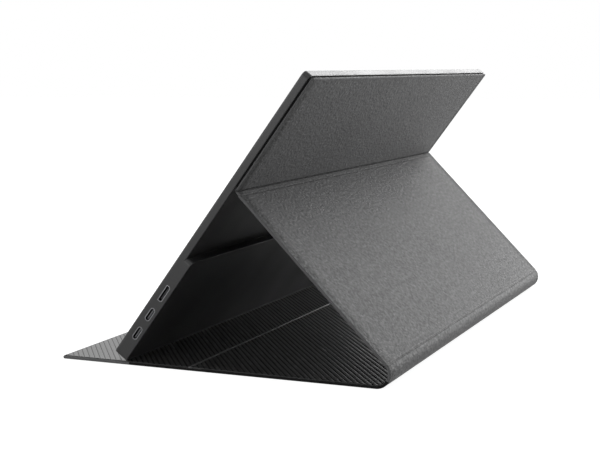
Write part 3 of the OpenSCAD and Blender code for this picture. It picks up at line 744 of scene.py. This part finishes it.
# The pieces. SKIN and LINING have their materials in the order of the finishes above
SKIN = (LEATHER, TUCK, LEATHER_EDGE_SHADE, LEATHER_LINE_SHADE, LEATHER_FOLD_SHADE)
LINING = (CLOTH, CLOTH_GROOVE_SHADE)


def dress(obj, finishes, nodes, body=None):
    """Gives a piece its materials, hides the nodes that it stands for, and parents it to the body it rides
    on, or else fixes its place.
    """
    for finish in finishes:
        obj.data.materials.append(finish)
    if body:
        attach(obj, body)
    else:
        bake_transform(obj)
    if nodes:
        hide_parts(*nodes)


# The leather of the cover, panel by panel. Stations are the distances along it where corners lie:
# wide on the flat, with the last one inside the edge that wraps a closed end, and close where it bends.
# The fold's piece runs from FOLD_UP to FOLD_DOWN, and the spine's laps onto the panel at each side
FLAT_FROM = 4
FLAT_STEP = 9
SUPPORT_FLAT_FROM = 6
FOLD_STEP = 0.12
ROW_STEP = 0.14
SECOND_REACH = 1
SPINE_REACH = 1.5
SPINE_EVEN_FROM = 3.5
SPINE_STEP = 0.5
CREASE_STEP = 0.25
END_ROOM = 10
FOLD_UP = 2.2
FOLD_DOWN = 2.6
SPINE_LAP = 0.5
CREASE_BACK = 8.5
CREASE_FRONT = 1.5
CREASE_RIM_H = 1.45

stations = [-FOLD_UP] + [-v for v in spread(FLAT_FROM, UPPER_LEN - END_ROOM, FLAT_STEP)]
piece = skin_piece("upper_cover", stations, -UPPER_LEN, FOLD_ROWS, UPPER_RIM_H)
dress(piece, SKIN, ["upper_skin"], "display")

stations = spread(-FOLD_UP, FOLD_DOWN, FOLD_STEP)
piece = skin_piece("fold_hinge", stations, None, FOLD_ROWS, UPPER_RIM_H)
dress(piece, SKIN, ["fold_strip"])

stations = around(SECOND_ROW[0], SECOND_REACH, ROW_STEP)
stations += spread(SUPPORT_FLAT_FROM, S_SPINE - SPINE_LAP, FLAT_STEP)
piece = skin_piece("support_cover", stations, None, FOLD_ROWS)
dress(piece, SKIN, ["support_skin"], "support_panel")

stations = [S_SPINE - SPINE_LAP] + around(SPINE_ROW[0], SPINE_REACH, ROW_STEP)
stations += spread(S_SPINE + SPINE_EVEN_FROM, S_FLOOR + SPINE_LAP, SPINE_STEP)
piece = skin_piece("spine_cover", stations, None, (SPINE_ROW,), dark=SHADED_EDGE_SPAN)
dress(piece, SKIN, ["spine_skin"])

stations = spread(S_FLOOR + SPINE_LAP, S_CREASE - CREASE_BACK, FLAT_STEP)
piece = skin_piece("floor_cover", stations, dark=SHADED_EDGE_SPAN)
dress(piece, SKIN, ["floor_skin"], "floor_panel")

stations = spread(S_CREASE - CREASE_BACK, S_CREASE + CREASE_FRONT, CREASE_STEP)
piece = skin_piece("crease_cover", stations, None, (), CREASE_RIM_H, SHADED_EDGE_SPAN)
dress(piece, SKIN, ["crease_strip"])

stations = [S_CREASE + CREASE_FRONT] + spread(S_CREASE + FLAT_FROM, S_FOOT, FLAT_STEP)
stations += spread(S_FOOT + 1, S_END - END_ROOM, FLAT_STEP)
piece = skin_piece("flap_cover", stations, S_END, dark=SHADED_EDGE_SPAN)
dress(piece, SKIN, ["flap_skin"], "front_flap")

# The ribbed lining inside it, with a gap at the crease for its ridge
RIBS_AT_CREASE = 1.1
RIBS_PAST_SPINE = 1

piece = ribbed_piece("support_ribs", SECOND_ROW[0], S_SPINE)
dress(piece, LINING, ["support_lining"], "support_panel")

turns = spread(S_SPINE, S_FLOOR, 0.6)[1:]
piece = ribbed_piece("spine_ribs", S_SPINE, S_FLOOR + RIBS_PAST_SPINE, turns)
dress(piece, LINING, ["spine_lining"])

piece = ribbed_piece("floor_ribs", S_FLOOR + RIBS_PAST_SPINE, S_CREASE - RIBS_AT_CREASE)
dress(piece, LINING, ["floor_lining"], "floor_panel")

piece = ribbed_piece("flap_ribs", S_CREASE + RIBS_AT_CREASE, S_END - INSIDE, (S_FOOT,), corner_cut=1.4)
dress(piece, LINING, ["flap_lining"], "front_flap")

# The smooth ridge along the crease, in a lighter cloth that is a painted highlight, and the cloth between
# the upper panel and the monitor
RIDGE_HALF = 1.1
RIDGE_H = 0.75
RIDGE_FOOT = LINING_Z + 0.1
RIDGE_LOW = 0.9
ridge = [(S_CREASE + u, RIDGE_FOOT + RIDGE_H * math.sqrt(max(0, 1 - (u / RIDGE_HALF) ** 2)))
         for u in spread(-RIDGE_HALF, RIDGE_HALF, 0.2)]
piece = band_piece("crease_ridge", ridge, HALF - INSIDE, RIDGE_LOW)
dress(piece, (CLOTH_RIDGE_HIGHLIGHT,), [])

cloth_top = UPPER_T - 0.03
cloth_edge = UPPER_RIM_H + 0.3
cloth = [(-UPPER_LEN + SLOT_IN, cloth_edge), (-UPPER_LEN + SLOT_IN + 0.3, cloth_top),
         (-2.3, cloth_top), (-1.8, cloth_edge)]
piece = band_piece("upper_lining_cloth", cloth, HALF - SLOT_IN, UPPER_RIM_H)
dress(piece, (TUCK,), ["upper_lining"], "display")

dress(foot_shade_strip(), (SHADE_RUBBER,), [], "display")

# Light and floor, with sizes in metres from here on. The floor's glow goes from the first level to the
# second over the two distances from the middle
FILL = 0.15
FLOOR_TONE = (0.4, 0.4, 0.4)
FLOOR_REACH = 6.0
FLOOR_DROP = 0.0002
FADE_OVER = (0.4, 1.4)
GLOW = (0.93, 1.0)


def seen_directly(tree):
    """1 for camera, glossy and transmission rays."""
    path = node(tree, "ShaderNodeLightPath")
    both = maths(tree, "MAXIMUM", path.outputs["Is Camera Ray"], path.outputs["Is Glossy Ray"])
    return maths(tree, "MAXIMUM", both, path.outputs["Is Transmission Ray"])


def white_studio():
    """White where it is seen, with a weak fill for the object."""
    world = bpy.data.worlds.new("studio")
    bpy.context.scene.world = world
    world.use_nodes = True
    tree = world.node_tree
    tree.nodes.clear()
    fill = node(tree, "ShaderNodeBackground", Color=(0.98, 0.99, 1.0, 1), Strength=FILL)
    white = node(tree, "ShaderNodeBackground", Color=(1, 1, 1, 1), Strength=1.0)
    choose = node(tree, "ShaderNodeMixShader")
    out = node(tree, "ShaderNodeOutputWorld")
    tree.links.new(seen_directly(tree), choose.inputs["Fac"])
    tree.links.new(fill.outputs["Background"], choose.inputs[1])
    tree.links.new(white.outputs["Background"], choose.inputs[2])
    tree.links.new(choose.outputs["Shader"], out.inputs["Surface"])


def pale_floor():
    """A matt floor that takes the object's shadow, with a glow that fades it into the white far off."""
    m, tree, shader = material("pale_floor", FLOOR_TONE, 0.9, specular=0.0)
    glow = node(tree, "ShaderNodeEmission", Color=(1, 1, 1, 1), Strength=1.0)
    away = node(tree, "ShaderNodeVectorMath", operation="LENGTH")
    tree.links.new(object_place(tree), away.inputs[0])
    level = remap(tree, away.outputs["Value"], *FADE_OVER, *GLOW)
    tree.links.new(times(tree, seen_directly(tree), level), glow.inputs["Strength"])
    both = node(tree, "ShaderNodeAddShader")
    tree.links.new(shader.outputs["BSDF"], both.inputs[0])
    tree.links.new(glow.outputs["Emission"], both.inputs[1])
    tree.links.new(both.outputs["Shader"], tree.nodes["Material Output"].inputs["Surface"])
    return m


white_studio()
floor_mesh = bpy.data.meshes.new("studio_floor")
corners = [(sx * FLOOR_REACH, sy * FLOOR_REACH, 0) for sx, sy in ((-1, -1), (1, -1), (1, 1), (-1, 1))]
floor_mesh.from_pydata(corners, [], [(0, 1, 2, 3)])
floor_mesh.materials.append(pale_floor())
floor = bpy.data.objects.new("studio_floor", floor_mesh)
floor.location = (0, 0, -FLOOR_DROP)
bpy.context.collection.objects.link(floor)


def softbox(name, location, target, size, power):
    data = bpy.data.lights.new(name, "AREA")
    data.shape = "RECTANGLE"
    data.size, data.size_y = size
    data.energy = power
    obj = bpy.data.objects.new(name, data)
    bpy.context.collection.objects.link(obj)
    obj.location = location
    obj.rotation_mode = "QUATERNION"
    obj.rotation_quaternion = (Vector(target) - Vector(location)).to_track_quat("-Z", "Y")


SCREEN_MIDDLE = (0, 0, 0.08)
BACK_MIDDLE = (0, 0.06, 0.14)
softbox("front_softbox", (0.25, -1.0, 0.8), SCREEN_MIDDLE, (1.0, 0.7), 1.2)
softbox("front_far_softbox", (-0.9, -0.9, 0.6), SCREEN_MIDDLE, (0.8, 0.6), 0.5)
softbox("far_softbox", (-1.4, 0.12, 0.78), BACK_MIDDLE, (0.7, 0.6), 5.5)
softbox("far_high_softbox", (-1.1, 0.3, 1.2), BACK_MIDDLE, (0.7, 0.6), 5.5)
softbox("far_low_softbox", (-1.4, 0.7, 0.24), BACK_MIDDLE, (0.7, 0.44), 11.5)
softbox("near_softbox", (1.35, -0.55, 0.3), (0.17, 0.0, 0.12), (0.6, 0.5), 4.4)
softbox("near_high_softbox", (0.9, 0.4, 0.9), (0.177, 0.0, 0.09), (0.3, 0.3), 1.3)
softbox("back_low_softbox", (0.2, 1.5, 0.12), (0, 0.1, 0.05), (1.0, 0.2), 0.9)
softbox("top_softbox", (0, 0.2, 1.4), (0, 0.05, 0.08), (0.6, 0.6), 1.0)

# The photograph's camera, found from the object's own edges
CAMERA_AT = (0.81776, 0.32636, 0.17241)
YAW = math.radians(23.203)
PITCH = math.radians(6.938)
ROLL = math.radians(-0.311)
SENSOR_W = 36
LENS = 77.13
ahead = Vector((-math.cos(YAW) * math.cos(PITCH), -math.sin(YAW) * math.cos(PITCH), -math.sin(PITCH)))
right = Vector((-math.sin(YAW), math.cos(YAW), 0))
upward = right.cross(ahead)
right_rolled = right * math.cos(ROLL) + upward * math.sin(ROLL)
up_rolled = upward * math.cos(ROLL) - right * math.sin(ROLL)
camera = bpy.data.objects.new("camera", bpy.data.cameras.new("camera"))
bpy.context.collection.objects.link(camera)
camera.data.sensor_width = SENSOR_W
camera.data.lens = LENS
camera.data.clip_start = 0.01
camera.data.clip_end = 50
facing = Matrix((right_rolled, up_rolled, -ahead)).transposed().to_4x4()
camera.matrix_world = Matrix.Translation(Vector(CAMERA_AT)) @ facing
scene = bpy.context.scene
scene.camera = camera
scene.view_settings.view_transform = "Standard"

bpy.context.view_layer.update()
